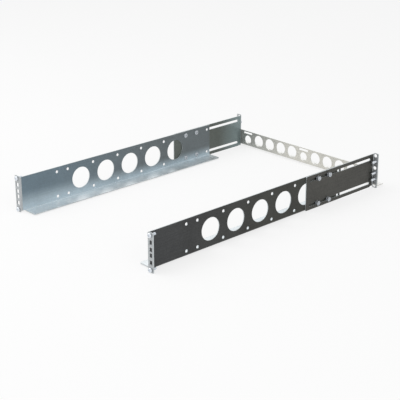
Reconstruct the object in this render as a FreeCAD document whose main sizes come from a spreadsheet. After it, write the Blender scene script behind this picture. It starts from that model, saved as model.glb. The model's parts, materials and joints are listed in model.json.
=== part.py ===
# Sliding server rail pair, in millimetres.
#
# Two perforated L-shaped front rails telescope on two slotted rear brackets, so
# that the pair fits racks of different depths.  A perforated crossbar ties the
# rear brackets.  X is to the right, Y to the rear and Z up.  The origin is the
# centre of the front screw pattern, on the face where the front ears seat.
import FreeCAD, Part
import math
import os
import Sketcher

os.makedirs("parts", exist_ok=True)

doc = FreeCAD.newDocument("ServerRailPair")

# ---------------------------------------------------------------- the sizes

SIZES = {
    # 19 inch rack: two columns of holes, three holes to each unit
    "rack_span": 465.1,
    "rack_step": 15.875,
    "rack_unit_gap": 12.7,
    "rack_square": 9.5,
    "rack_depth": 724.0,
    # sheet metal, common to the rails and brackets
    "plate": 2.0,
    "ear_bend": 1.0,
    "ear_corner": 2.0,
    "ear_end_margin": 5.9,
    "ear_side_margin": 8.45,
    "ear_overhang": 2.0,
    "column_inset": 7.55,
    # front rail
    "shelf_width": 40.0,
    "shelf_bend": 2.5,
    "shelf_relief": 9.0,
    "shelf_corner": 4.0,
    "first_column": 135.4,
    "front_column_lead": 31.7,
    "column_pitch": 76.2,
    "large_holes": 5,
    "large_hole": 52.0,
    "small_hole": 7.0,
    "row_inset": 11.5,
    "rail_end_margin": 9.4,
    # rear bracket
    "slide_gap": 0.2,
    "bracket_lap": 39.4,
    "bracket_corner": 3.0,
    "slot_front_margin": 10.0,
    "slot_rear_margin": 13.0,
    "slot_play": 0.3,
    # crossbar
    "bar_plate": 1.5,
    "bar_bend": 1.5,
    "bar_top_margin": 8.55,
    "bar_height": 41.2,
    "bar_flange": 24.0,
    "bar_end_margin": 8.45,
    "bar_hole_lead": 32.55,
    "bar_holes": 11,
    "bar_rim_top": 4.2,
    "bar_rim_bottom": 6.0,
    "bar_small_hole": 23.0,
    "bar_slot_length": 31.0,
    "bar_slot_width": 5.0,
    "bar_slot_rim": 2.7,
    "tie_slot_length": 28.0,
    "tie_slot_width": 6.5,
    "tie_slot_margin": 8.0,
    # fasteners
    "shank": 6.0,
    "screw_hole": 9.0,
    "screw_reach": 12.0,
    "screw_neck": 5.3,
    "neck_overrun": 0.3,
    "screw_tip": 0.8,
    "screw_head": 11.0,
    "screw_head_height": 3.6,
    "screw_head_bevel": 1.3,
    "drive_width": 1.5,
    "drive_span": 5.6,
    "drive_depth": 1.8,
    "washer_outer": 11.5,
    "washer_bore": 6.4,
    "washer_plate": 1.2,
    "bolt_head": 12.0,
    "bolt_head_height": 1.9,
    "bolt_head_rim": 0.5,
    "bolt_crown": 7.0,
    "bolt_tail": 1.4,
    "nut_flats": 10.0,
    "nut_height": 5.0,
    "nut_bore": 6.1,
    "nut_chamfer": 0.7,
}

sheet = doc.addObject("Spreadsheet::Sheet", "Sizes")
for row, (alias, value) in enumerate(SIZES.items(), start=1):
    sheet.set(f"A{row}", alias)
    sheet.set(f"B{row}", str(value))
    sheet.setAlias(f"B{row}", alias)
doc.recompute()


def size(alias):
    """The cell of one size, as text for an expression."""
    return f"Sizes.{alias}"


def number(expression):
    """The value that an expression has now."""
    value = sheet.evalExpression(str(expression))
    return float(getattr(value, "Value", value))


# Places that several pieces share, as expressions in the sheet's cells.
HALF_SPAN = f"{size('rack_span')} / 2"
ROW_LOW = f"{size('rack_unit_gap')} / 2"
ROW_MIDDLE = f"({ROW_LOW} + {size('rack_step')})"
ROW_HIGH = f"({ROW_LOW} + 2 * {size('rack_step')})"
EAR_HALF = f"({ROW_HIGH} + {size('ear_end_margin')})"
WEB_HALF = f"({EAR_HALF} - {size('ear_overhang')})"
EAR_EDGE = f"({HALF_SPAN} + {size('ear_side_margin')})"

WEB_OUTER = f"({HALF_SPAN} - {size('column_inset')})"
WEB_INNER = f"({WEB_OUTER} - {size('plate')})"
SHELF_EDGE = f"({WEB_OUTER} - {size('shelf_width')})"
SHELF_TOP = f"({size('plate')} - {WEB_HALF})"
HOLE_ROW = f"({WEB_HALF} - {size('row_inset')})"
FRONT_COLUMN = f"({size('first_column')} - {size('front_column_lead')})"
LAST_COLUMN = f"({size('first_column')} + (Sizes.large_holes + 1) * {size('column_pitch')})"
MID_COLUMN = f"({LAST_COLUMN} - {size('column_pitch')} / 2)"
BOLT_COLUMN = f"({LAST_COLUMN} - {size('column_pitch')})"
RAIL_END = f"({LAST_COLUMN} + {size('rail_end_margin')})"

BRACKET_INNER = f"({WEB_OUTER} + {size('slide_gap')})"
BRACKET_OUTER = f"({BRACKET_INNER} + {size('plate')})"
BRACKET_FRONT = f"({BOLT_COLUMN} - {size('bracket_lap')})"
SLOT_RADIUS = f"({size('shank')} / 2 + {size('slot_play')})"
SLOT_FRONT = f"({BRACKET_FRONT} + {size('slot_front_margin')} + {SLOT_RADIUS})"
SLOT_REAR = f"({size('rack_depth')} - {size('slot_rear_margin')} - {SLOT_RADIUS})"

REAR_FACE = f"({size('rack_depth')} + {size('plate')})"
BAR_REAR = f"({REAR_FACE} + {size('bar_plate')})"
BAR_TOP = f"({size('bar_top_margin')} - {ROW_LOW})"
BAR_BOTTOM = f"({BAR_TOP} - {size('bar_height')})"
BAR_END = f"({HALF_SPAN} + {size('bar_end_margin')})"
BAR_FIRST = f"({HALF_SPAN} - {size('bar_hole_lead')})"
BAR_PITCH = f"(2 * {BAR_FIRST} / (Sizes.bar_holes - 1))"
BAR_LARGE = f"({size('bar_height')} - {size('bar_rim_top')} - {size('bar_rim_bottom')})"

SIDES = {"left": -1, "right": 1}


# ------------------------------------------------------- sketches and features

def new_body(name):
    body = doc.addObject("PartDesign::Body", name)
    body.Label = name
    return body


def new_sketch(body, name, role, offset=None):
    """A sketch on one of the body's own origin planes, or at an offset from it."""
    plane = [item for item in body.Origin.OriginFeatures if item.Role == role][0]
    sketch = body.newObject("Sketcher::SketchObject", name)
    sketch.AttachmentSupport = [(plane, "")]
    sketch.MapMode = "FlatFace"
    if offset is not None:
        sketch.setExpression("AttachmentOffset.Base.z", offset)
    return sketch


def bind(sketch, kind, places, expression):
    """One dimension of a sketch, tied to an expression."""
    index = sketch.addConstraint(Sketcher.Constraint(kind, *places, number(expression)))
    sketch.setExpression(f"Constraints[{index}]", str(expression))


def pin(sketch, element, point, across, up):
    """Tie a point of the sketch to its place, measured from the sketch's origin."""
    bind(sketch, "DistanceX", (-1, 1, element, point), across)
    bind(sketch, "DistanceY", (-1, 1, element, point), up)


def add_outline(sketch, corners):
    """A closed outline of straight lines, each corner tied to its place."""
    points = [FreeCAD.Vector(number(across), number(up), 0) for across, up in corners]
    first = sketch.GeometryCount
    count = len(corners)
    for index in range(count):
        line = Part.LineSegment(points[index], points[(index + 1) % count])
        sketch.addGeometry(line, False)
    for index in range(count):
        following = first + (index + 1) % count
        sketch.addConstraint(Sketcher.Constraint("Coincident", first + index, 2, following, 1))
        pin(sketch, first + index, 1, *corners[index])


def add_circle(sketch, across, up, diameter):
    centre = FreeCAD.Vector(number(across), number(up), 0)
    circle = Part.Circle(centre, FreeCAD.Vector(0, 0, 1), number(diameter) / 2)
    element = sketch.addGeometry(circle, False)
    pin(sketch, element, 3, across, up)
    bind(sketch, "Diameter", (element,), diameter)


def add_slot(sketch, start, finish, up, radius):
    """A slot with round ends, along the sketch's first axis."""
    left = number(start)
    right = number(finish)
    middle = number(up)
    reach = number(radius)
    normal = FreeCAD.Vector(0, 0, 1)
    quarter = math.pi / 2
    right_end = Part.Circle(FreeCAD.Vector(right, middle, 0), normal, reach)
    left_end = Part.Circle(FreeCAD.Vector(left, middle, 0), normal, reach)
    low = [FreeCAD.Vector(left, middle - reach, 0), FreeCAD.Vector(right, middle - reach, 0)]
    high = [FreeCAD.Vector(right, middle + reach, 0), FreeCAD.Vector(left, middle + reach, 0)]
    bottom = sketch.addGeometry(Part.LineSegment(*low), False)
    arc_right = sketch.addGeometry(Part.ArcOfCircle(right_end, -quarter, quarter), False)
    top = sketch.addGeometry(Part.LineSegment(*high), False)
    arc_left = sketch.addGeometry(Part.ArcOfCircle(left_end, quarter, 3 * quarter), False)
    ring = [(bottom, 2, arc_right, 1), (arc_right, 2, top, 1)]
    ring += [(top, 2, arc_left, 1), (arc_left, 2, bottom, 1)]
    for joint in ring:
        sketch.addConstraint(Sketcher.Constraint("Tangent", *joint))
    pin(sketch, arc_right, 3, finish, up)
    pin(sketch, arc_left, 3, start, up)
    sketch.addConstraint(Sketcher.Constraint("Equal", arc_right, arc_left))
    bind(sketch, "Radius", (arc_right,), radius)


def pad(body, sketch, length, reverse=False):
    feature = body.newObject("PartDesign::Pad", f"{sketch.Name}_pad")
    feature.Profile = sketch
    feature.setExpression("Length", length)
    feature.Reversed = reverse
    doc.recompute()
    return feature


def cut_through(body, sketch, reverse=False):
    """Punch a sketch through the body, on one side of the sketch's plane."""
    before = body.Shape.Volume
    feature = body.newObject("PartDesign::Pocket", f"{sketch.Name}_cut")
    feature.Profile = sketch
    feature.Type = "ThroughAll"
    feature.Reversed = reverse
    doc.recompute()
    if not feature.Shape.Volume < before:
        raise RuntimeError(f"{feature.Name} cuts nothing")
    return feature


def straight_edges(shape, axis, places):
    """Names of the straight edges along an axis that pass through given places."""
    others = [index for index in range(3) if index != axis]
    names = []
    for index, edge in enumerate(shape.Edges, start=1):
        ends = [vertex.Point for vertex in edge.Vertexes]
        if len(ends) != 2 or edge.Curve.TypeId != "Part::GeomLine":
            continue
        along = abs(ends[1][axis] - ends[0][axis])
        if abs(along - edge.Length) > 1e-6:
            continue
        here = [ends[0][other] for other in others]
        if any(math.dist(here, place) < 1e-4 for place in places):
            names.append(f"Edge{index}")
    return names


def round_edges(body, name, axis, places, radius):
    """Round the straight edges along an axis that pass through given places."""
    base = body.Tip
    targets = [[number(value) for value in place] for place in places]
    edges = straight_edges(base.Shape, axis, targets)
    if not edges:
        raise RuntimeError(f"{name} finds no edge")
    feature = body.newObject("PartDesign::Fillet", name)
    feature.Base = (base, edges)
    feature.setExpression("Radius", radius)
    doc.recompute()
    return feature


def mirror(side, expression):
    """The same distance from the middle, on the left (-1) or right (1) side."""
    return f"{side} * {expression}"


# --------------------------------------------------------- sheet-metal pieces

def add_ear(body, side, inner, outer, root, face, tip):
    """A rack ear bent outward from a web.

    The web lies between inner and outer, and runs from root to the ear, whose
    two faces are at face (towards the web) and tip.
    """
    name = body.Name
    bend = new_sketch(body, f"{name}_ear_bend", "XY_Plane", f"{size('ear_bend')} * 2 - {WEB_HALF}")
    corners = [(inner, root), (inner, tip), (EAR_EDGE, tip), (EAR_EDGE, face)]
    corners += [(outer, face), (outer, root)]
    add_outline(bend, [(mirror(side, across), up) for across, up in corners])
    pad(body, bend, f"2 * {WEB_HALF} - {size('ear_bend')} * 2")
    inside = [(mirror(side, outer), face)]
    outside = [(mirror(side, inner), tip)]
    round_edges(body, f"{name}_ear_inside", 2, inside, size("ear_bend"))
    round_edges(body, f"{name}_ear_outside", 2, outside, f"{size('ear_bend')} + {size('plate')}")
    flat = f"({outer} + {size('ear_bend')})"
    plate = new_sketch(body, f"{name}_ear_plate", "XY_Plane", f"-1 * {EAR_HALF}")
    corners = [(flat, tip), (EAR_EDGE, tip), (EAR_EDGE, face), (flat, face)]
    add_outline(plate, [(mirror(side, across), up) for across, up in corners])
    pad(body, plate, f"2 * {EAR_HALF}")
    tips = [(mirror(side, EAR_EDGE), f"{sign} * {EAR_HALF}") for sign in (-1, 1)]
    round_edges(body, f"{name}_ear_corners", 1, tips, size("ear_corner"))


def make_front_rail(word, side):
    """L-shaped rail: web, shelf at its foot and rack ear at its front."""
    name = f"{word}_front_rail"
    body = new_body(name)
    relief = size("shelf_relief")

    profile = new_sketch(body, f"{name}_profile", "XZ_Plane", f"-1 * {relief}")
    corners = [(WEB_OUTER, f"-1 * {WEB_HALF}"), (WEB_OUTER, WEB_HALF), (WEB_INNER, WEB_HALF)]
    corners += [(WEB_INNER, SHELF_TOP), (SHELF_EDGE, SHELF_TOP)]
    corners += [(SHELF_EDGE, f"-1 * {WEB_HALF}")]
    add_outline(profile, [(mirror(side, across), up) for across, up in corners])
    pad(body, profile, f"{RAIL_END} - {relief}", reverse=True)
    inside = [(mirror(side, WEB_INNER), SHELF_TOP)]
    outside = [(mirror(side, WEB_OUTER), f"-1 * {WEB_HALF}")]
    round_edges(body, f"{name}_shelf_inside", 1, inside, size("shelf_bend"))
    round_edges(body, f"{name}_shelf_outside", 1, outside, f"{size('shelf_bend')} + {size('plate')}")
    free = [(mirror(side, SHELF_EDGE), end) for end in (relief, RAIL_END)]
    round_edges(body, f"{name}_shelf_corners", 2, free, size("shelf_corner"))

    add_ear(body, side, WEB_INNER, WEB_OUTER, relief, "0", f"-1 * {size('plate')}")

    lightening = new_sketch(body, f"{name}_large_holes", "YZ_Plane")
    add_circle(lightening, f"{size('first_column')} + {size('column_pitch')} / 2", "0", size("large_hole"))
    first = cut_through(body, lightening, reverse=side > 0)
    row = body.newObject("PartDesign::LinearPattern", f"{name}_large_hole_row")
    row.Originals = [first]
    row.Direction = ([item for item in body.Origin.OriginFeatures if item.Role == "Y_Axis"][0], [""])
    row.setExpression("Occurrences", "Sizes.large_holes")
    row.setExpression("Length", f"(Sizes.large_holes - 1) * {size('column_pitch')}")
    body.Tip = row
    doc.recompute()

    small = new_sketch(body, f"{name}_small_holes", "YZ_Plane")
    columns = [FRONT_COLUMN, MID_COLUMN]
    columns += [f"{size('first_column')} + {index} * {size('column_pitch')}"
                for index in range(int(number("Sizes.large_holes")) + 2)]
    for column in columns:
        for sign in (-1, 1):
            add_circle(small, column, f"{sign} * {HOLE_ROW}", size("small_hole"))
    cut_through(body, small, reverse=side > 0)

    squares = new_sketch(body, f"{name}_rack_squares", "XZ_Plane")
    rounds = new_sketch(body, f"{name}_rack_screw_holes", "XZ_Plane")
    half = f"{size('rack_square')} / 2"
    for sign in (-1, 1):
        for level in (ROW_LOW, ROW_MIDDLE):
            middle = f"{sign} * {level}"
            corners = [(f"({HALF_SPAN} {across} {half})", f"{middle} {up} {half}")
                       for across, up in ("--", "+-", "++", "-+")]
            add_outline(squares, [(mirror(side, across), up) for across, up in corners])
        add_circle(rounds, mirror(side, f"({HALF_SPAN})"), f"{sign} * {ROW_HIGH}", size("screw_hole"))
    cut_through(body, squares, reverse=True)
    cut_through(body, rounds, reverse=True)
    return body


def make_rear_bracket(word, side):
    """Flat bracket with two long slots and a rack ear at its rear end."""
    name = f"{word}_rear_bracket"
    body = new_body(name)
    profile = new_sketch(body, f"{name}_profile", "YZ_Plane", mirror(side, BRACKET_INNER))
    bend_start = f"({size('rack_depth')} - {size('shelf_relief')})"
    corners = [(BRACKET_FRONT, f"-1 * {WEB_HALF}"), (bend_start, f"-1 * {WEB_HALF}")]
    corners += [(bend_start, WEB_HALF), (BRACKET_FRONT, WEB_HALF)]
    add_outline(profile, corners)
    pad(body, profile, size("plate"), reverse=side < 0)
    nose = [(BRACKET_FRONT, f"{sign} * {WEB_HALF}") for sign in (-1, 1)]
    round_edges(body, f"{name}_nose", 0, nose, size("bracket_corner"))
    add_ear(body, side, BRACKET_INNER, BRACKET_OUTER, bend_start, size("rack_depth"), REAR_FACE)

    slots = new_sketch(body, f"{name}_slots", "YZ_Plane")
    for sign in (-1, 1):
        add_slot(slots, SLOT_FRONT, SLOT_REAR, f"{sign} * {HOLE_ROW}", SLOT_RADIUS)
    cut_through(body, slots, reverse=side > 0)

    holes = new_sketch(body, f"{name}_rack_holes", "XZ_Plane")
    for sign in (-1, 1):
        for level in (ROW_LOW, ROW_MIDDLE, ROW_HIGH):
            add_circle(holes, mirror(side, f"({HALF_SPAN})"), f"{sign} * {level}", size("screw_hole"))
    cut_through(body, holes)
    return body


def make_crossbar():
    """Perforated angle behind the rear ears, with tie slots in its flange."""
    name = "rear_crossbar"
    body = new_body(name)
    profile = new_sketch(body, f"{name}_profile", "YZ_Plane", f"-1 * {BAR_END}")
    flange_edge = f"({REAR_FACE} + {size('bar_flange')})"
    flange_top = f"({BAR_BOTTOM} + {size('bar_plate')})"
    corners = [(REAR_FACE, BAR_BOTTOM), (flange_edge, BAR_BOTTOM), (flange_edge, flange_top)]
    corners += [(BAR_REAR, flange_top), (BAR_REAR, BAR_TOP), (REAR_FACE, BAR_TOP)]
    add_outline(profile, corners)
    pad(body, profile, f"2 * {BAR_END}")
    round_edges(body, f"{name}_bend_inside", 0, [(BAR_REAR, flange_top)], size("bar_bend"))
    outside = f"{size('bar_bend')} + {size('bar_plate')}"
    round_edges(body, f"{name}_bend_outside", 0, [(REAR_FACE, BAR_BOTTOM)], outside)

    round_holes = new_sketch(body, f"{name}_round_holes", "XZ_Plane")
    long_slots = new_sketch(body, f"{name}_long_slots", "XZ_Plane")
    tie_slots = new_sketch(body, f"{name}_tie_slots", "XY_Plane")
    count = int(number("Sizes.bar_holes"))
    marked = (0, count // 2, count - 1)
    slot_radius = f"{size('bar_slot_width')} / 2"
    slot_reach = f"({size('bar_slot_length')} / 2 - {slot_radius})"
    tie_radius = f"{size('tie_slot_width')} / 2"
    tie_reach = f"({size('tie_slot_length')} / 2 - {tie_radius})"
    tie_row = f"({flange_edge} - {size('tie_slot_margin')} - {tie_radius})"
    for index in range(count):
        place = f"({index} * {BAR_PITCH} - {BAR_FIRST})"
        add_slot(tie_slots, f"{place} - {tie_reach}", f"{place} + {tie_reach}", tie_row, tie_radius)
        if index in marked:
            level = f"{BAR_BOTTOM} + {size('bar_rim_bottom')} + {size('bar_small_hole')} / 2"
            add_circle(round_holes, place, level, size("bar_small_hole"))
            level = f"{BAR_TOP} - {size('bar_slot_rim')} - {slot_radius}"
            add_slot(long_slots, f"{place} - {slot_reach}", f"{place} + {slot_reach}", level, slot_radius)
        else:
            level = f"{BAR_TOP} - {size('bar_rim_top')} - {BAR_LARGE} / 2"
            add_circle(round_holes, place, level, BAR_LARGE)
    screws = new_sketch(body, f"{name}_screw_holes", "XZ_Plane")
    for side in SIDES.values():
        for level in (ROW_LOW, ROW_MIDDLE):
            add_circle(screws, mirror(side, f"({HALF_SPAN})"), f"-1 * {level}", size("screw_hole"))
    for sketch in (round_holes, long_slots, screws):
        cut_through(body, sketch)
    cut_through(body, tie_slots)
    return body


# ----------------------------------------------------------------- fasteners
# Each fastener is drawn about its own axis, with +Z along the way it is driven
# and z = 0 on the face that its head, washer or nut bears on, then set in place.

ALONG = {
    "rearward": FreeCAD.Rotation(FreeCAD.Vector(0, 0, 1), FreeCAD.Vector(0, 1, 0)),
    "forward": FreeCAD.Rotation(FreeCAD.Vector(0, 0, 1), FreeCAD.Vector(0, -1, 0)),
    "leftward": FreeCAD.Rotation(FreeCAD.Vector(0, 0, 1), FreeCAD.Vector(-1, 0, 0)),
    "rightward": FreeCAD.Rotation(FreeCAD.Vector(0, 0, 1), FreeCAD.Vector(1, 0, 0)),
}


def set_in_place(body, way, place):
    body.Placement = FreeCAD.Placement(FreeCAD.Vector(0, 0, 0), ALONG[way])
    for letter, expression in zip("xyz", place):
        body.setExpression(f"Placement.Base.{letter}", expression)


def revolve(body, sketch):
    feature = body.newObject("PartDesign::Revolution", f"{sketch.Name}_turn")
    feature.Profile = sketch
    feature.ReferenceAxis = (sketch, ["V_Axis"])
    feature.Angle = 360
    doc.recompute()
    return feature


def make_rack_screw(name, way, place, through):
    """Pan-head screw with a necked shank and a cross recess; through is what lies under its head."""
    body = new_body(name)
    half_shank = f"{size('shank')} / 2"
    half_neck = f"{size('screw_neck')} / 2"
    half_head = f"{size('screw_head')} / 2"
    neck_end = f"{size('washer_plate')} + {size('neck_overrun')}"
    end = f"({through} + {size('screw_reach')})"
    top = f"-1 * {size('screw_head_height')}"
    section = new_sketch(body, f"{name}_section", "XZ_Plane")
    corners = [("0", top), (half_head, top), (half_head, "0"), (half_neck, "0")]
    corners += [(half_neck, neck_end), (half_shank, neck_end)]
    corners += [(half_shank, f"{end} - {size('screw_tip')}")]
    corners += [(f"{half_shank} - {size('screw_tip')}", end), ("0", end)]
    add_outline(section, corners)
    turned_screw = revolve(body, section)
    rim = [f"Edge{index}" for index, edge in enumerate(turned_screw.Shape.Edges, start=1)
           if edge.Curve.TypeId == "Part::GeomCircle"
           and abs(edge.CenterOfMass.z - number(top)) < 1e-4]
    bevel = body.newObject("PartDesign::Chamfer", f"{name}_bevel")
    bevel.Base = (turned_screw, rim)
    bevel.setExpression("Size", size("screw_head_bevel"))
    doc.recompute()
    recess_floor = f"{size('drive_depth')} - {size('screw_head_height')}"
    recess = new_sketch(body, f"{name}_recess", "XY_Plane", recess_floor)
    arm = f"{size('drive_width')} / 2"
    reach = f"{size('drive_span')} / 2"
    quarter = [(reach, arm), (arm, arm), (arm, reach)]
    corners = []
    for turn in range(4):
        for across, up in quarter:
            turned = [(across, up), (f"-1 * ({up})", across)]
            turned += [(f"-1 * ({across})", f"-1 * ({up})"), (up, f"-1 * ({across})")]
            corners.append(turned[turn])
    add_outline(recess, corners)
    cut_through(body, recess)
    set_in_place(body, way, place)
    return body


def make_washer(name, way, place):
    body = new_body(name)
    ring = new_sketch(body, f"{name}_ring", "XY_Plane")
    add_circle(ring, "0", "0", size("washer_outer"))
    add_circle(ring, "0", "0", size("washer_bore"))
    pad(body, ring, size("washer_plate"))
    set_in_place(body, way, place)
    return body


def make_slide_bolt(name, way, place, through):
    """Bolt with a low bevelled head; through is what lies between head and tail."""
    body = new_body(name)
    section = new_sketch(body, f"{name}_section", "XZ_Plane")
    crown = f"-1 * {size('bolt_head_height')}"
    rim = f"-1 * {size('bolt_head_rim')}"
    half_head = f"{size('bolt_head')} / 2"
    half_shank = f"{size('shank')} / 2"
    end = f"({through} + {size('bolt_tail')})"
    corners = [("0", crown), (f"{size('bolt_crown')} / 2", crown), (half_head, rim)]
    corners += [(half_head, "0"), (half_shank, "0")]
    corners += [(half_shank, f"{end} - {size('screw_tip')}")]
    corners += [(f"{half_shank} - {size('screw_tip')}", end), ("0", end)]
    add_outline(section, corners)
    revolve(body, section)
    set_in_place(body, way, place)
    return body


def make_nut(name, way, place):
    """Hexagon nut with both faces chamfered."""
    body = new_body(name)
    corner = f"({size('nut_flats')} / sqrt(3))"
    flat = f"({size('nut_flats')} / 2)"
    hexagon = new_sketch(body, f"{name}_hexagon", "XY_Plane")
    corners = [(corner, "0"), (f"{corner} / 2", flat), (f"-1 * {corner} / 2", flat)]
    corners += [(f"-1 * {corner}", "0"), (f"-1 * {corner} / 2", f"-1 * {flat}")]
    corners += [(f"{corner} / 2", f"-1 * {flat}")]
    add_outline(hexagon, corners)
    add_circle(hexagon, "0", "0", size("nut_bore"))
    pad(body, hexagon, size("nut_height"))
    rim = new_sketch(body, f"{name}_rim", "XZ_Plane")
    top = size("nut_height")
    reach = size("nut_chamfer")
    beyond = f"({corner} + 1)"
    add_outline(rim, [(f"{corner} - {reach}", top), (beyond, top),
                      (beyond, f"{top} - ({reach} + 1) * tan(30)")])
    before = body.Shape.Volume
    groove = body.newObject("PartDesign::Groove", f"{name}_chamfer")
    groove.Profile = rim
    groove.ReferenceAxis = (rim, ["V_Axis"])
    groove.Angle = 360
    doc.recompute()
    if not groove.Shape.Volume < before:
        raise RuntimeError(f"{name}_chamfer cuts nothing")
    set_in_place(body, way, place)
    return body


def make_rack_fixings():
    """Screws and washers: through the front ears, the rear ears and the bar."""
    under_head = size("washer_plate")
    for word, side in SIDES.items():
        across = mirror(side, f"({HALF_SPAN})")
        ears = [(f"{word}_front_rack", "rearward", f"-1 * {size('plate')}", size("plate"),
                 {"top": ROW_HIGH, "bottom": f"-1 * {ROW_HIGH}"}),
                (f"{word}_rear_rack", "forward", REAR_FACE, size("plate"), {"top": ROW_MIDDLE}),
                (f"{word}_crossbar", "forward", BAR_REAR, f"({size('plate')} + {size('bar_plate')})",
                 {"upper": f"-1 * {ROW_LOW}", "lower": f"-1 * {ROW_MIDDLE}"})]
        for stem, way, face, stack, levels in ears:
            out = -1 if way == "rearward" else 1
            head_face = f"{face} + {out} * {under_head}"
            for level_word, level in levels.items():
                make_washer(f"{stem}_washer_{level_word}", way, (across, head_face, level))
                through = f"({stack} + {under_head})"
                make_rack_screw(f"{stem}_screw_{level_word}", way, (across, head_face, level), through)


def make_slide_fixings():
    """Four bolts a side, with washers and nuts, that ride in the bracket's slots."""
    stack = f"({size('plate')} * 2 + {size('slide_gap')} * 2)"
    for word, side in SIDES.items():
        way = "rightward" if side > 0 else "leftward"
        seat = f"({BRACKET_OUTER} + {size('slide_gap')})"
        nut_face = f"({seat} + {size('washer_plate')})"
        through = f"({stack} + {size('washer_plate')} + {size('nut_height')})"
        for place_word, column in (("front", BOLT_COLUMN), ("rear", MID_COLUMN)):
            for level_word, sign in (("upper", 1), ("lower", -1)):
                spot = f"{place_word}_{level_word}"
                row = f"{sign} * {HOLE_ROW}"
                faces = [mirror(side, face) for face in (WEB_INNER, seat, nut_face)]
                bolt_place, washer_place, nut_place = [(face, column, row) for face in faces]
                make_slide_bolt(f"{word}_slide_bolt_{spot}", way, bolt_place, through)
                make_washer(f"{word}_slide_washer_{spot}", way, washer_place)
                make_nut(f"{word}_slide_nut_{spot}", way, nut_place)


# --------------------------------------------------------------------- build

for side_word, side_sign in SIDES.items():
    make_front_rail(side_word, side_sign)
    make_rear_bracket(side_word, side_sign)
make_crossbar()
make_rack_fixings()
make_slide_fixings()
doc.recompute()

for item in doc.Objects:
    if "Invalid" in item.State or "Error" in item.State:
        raise RuntimeError(f"{item.Name} failed: {item.State}")

bodies = [item for item in doc.Objects if item.TypeId == "PartDesign::Body"]
for body in bodies:
    if body.Shape.isNull() or not body.Shape.isValid() or len(body.Shape.Solids) != 1:
        raise RuntimeError(f"{body.Label} is not one valid solid")
for body in bodies:
    body.Shape.exportStep(f"parts/{body.Label}.step")
print(len(bodies), "sub-parts written")
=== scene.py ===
import json
import math

import bmesh
import bpy
from bpy.props import FloatProperty, FloatVectorProperty, IntProperty, PointerProperty
from mathutils import Matrix, Vector


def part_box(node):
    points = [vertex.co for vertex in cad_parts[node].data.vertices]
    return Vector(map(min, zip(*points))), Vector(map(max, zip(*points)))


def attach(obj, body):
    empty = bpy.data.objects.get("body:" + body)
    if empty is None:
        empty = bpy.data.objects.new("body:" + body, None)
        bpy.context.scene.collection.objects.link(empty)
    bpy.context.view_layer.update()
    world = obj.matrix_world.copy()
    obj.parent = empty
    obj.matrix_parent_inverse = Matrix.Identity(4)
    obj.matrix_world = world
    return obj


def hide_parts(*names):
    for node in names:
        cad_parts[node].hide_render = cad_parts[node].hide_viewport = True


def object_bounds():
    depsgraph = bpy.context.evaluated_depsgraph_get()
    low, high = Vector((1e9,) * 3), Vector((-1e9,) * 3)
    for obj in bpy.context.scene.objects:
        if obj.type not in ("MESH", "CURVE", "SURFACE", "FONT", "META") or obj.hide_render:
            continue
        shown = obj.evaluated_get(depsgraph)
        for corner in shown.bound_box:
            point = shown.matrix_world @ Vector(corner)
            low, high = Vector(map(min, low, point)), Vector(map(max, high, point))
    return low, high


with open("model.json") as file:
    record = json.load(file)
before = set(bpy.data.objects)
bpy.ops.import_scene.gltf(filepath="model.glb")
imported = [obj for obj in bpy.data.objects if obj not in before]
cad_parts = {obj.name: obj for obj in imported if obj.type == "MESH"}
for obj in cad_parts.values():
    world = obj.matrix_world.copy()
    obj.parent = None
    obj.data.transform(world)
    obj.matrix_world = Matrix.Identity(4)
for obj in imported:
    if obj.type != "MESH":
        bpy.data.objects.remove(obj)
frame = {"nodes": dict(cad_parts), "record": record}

bl_info = {
    "name": "Server Rail Pair",
    "version": (1, 0, 0),
    "blender": (4, 5, 0),
    "location": "View3D > Sidebar > Server Rails",
    "description": "Finishes the sheet metal and builds the fasteners of a depth-adjustable server rail pair",
    "category": "Object",
}

# ------------------------------------------------------------------ the frame

SOLID_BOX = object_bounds()
BODY_OF = {node: body for body, nodes in frame["record"]["behaviour"]["bodies"].items() for node in nodes}

# Metres, in the frame's axes: X across the rack, Y rearward and Z up.
PLATE = 0.002  # sheet of the rails and brackets
SLIDE_GAP = 0.0002  # between a rail's web and its bracket
WEB_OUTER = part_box("right_rear_bracket")[0].x - SLIDE_GAP  # outer face of a rail's web
SHELF_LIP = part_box("right_front_rail")[0].x  # inner edge of a rail's shelf
EAR_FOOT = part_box("right_rear_bracket")[0].z  # lower end of the ears
SHELF_UNDER = EAR_FOOT + PLATE
SHELF_TOP = SHELF_UNDER + PLATE
REAR_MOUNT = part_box("rear_crossbar")[0].y - PLATE  # where the rear ears meet the rack
SCREW_HEAD = 0.0036  # height of a rack screw's head
BOLT_HEAD = 0.0019  # height of a slide bolt's head
SUNK = 0.0002  # how far a shank starts inside its head
THREAD_DEPTH = 0.00052
WELD = 6e-6  # points closer than this become one
FLOOR_GAP = 0.0003  # from the floor to the part's lowest point

EASED_ANGLE = math.radians(38)  # corners sharper than this are bevelled
SMOOTH_ANGLE = math.radians(36)  # corners sharper than this aren't smoothed over

# How much of a normal has to lie along an axis for its face to count as looking that way.
FACING = 0.3
TURNED = 0.5
SQUARE_ON = 0.7

# The sheets' finish.
FACING_UP_METAL = 0.8  # the Metal setting's value on faces that look up, which carry a painted reflection
DARK_CONTRAST = 2.4  # how much stronger the unevenness is on the outer side, which is darkened with painted shade
RUB_GLINT_SHARE = 0.55  # how bright a rubbed corner with its painted highlight is, against a cut edge
FOOT_NARROWING = 0.6  # height of the painted light at the foot of the web at the rear, against the front


def nodes_named(word):
    """The frame's nodes with this word in their names, in order."""
    return [name for name in sorted(frame["nodes"]) if word in name]


# ----------------------------------------------------------- shader node tools


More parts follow.
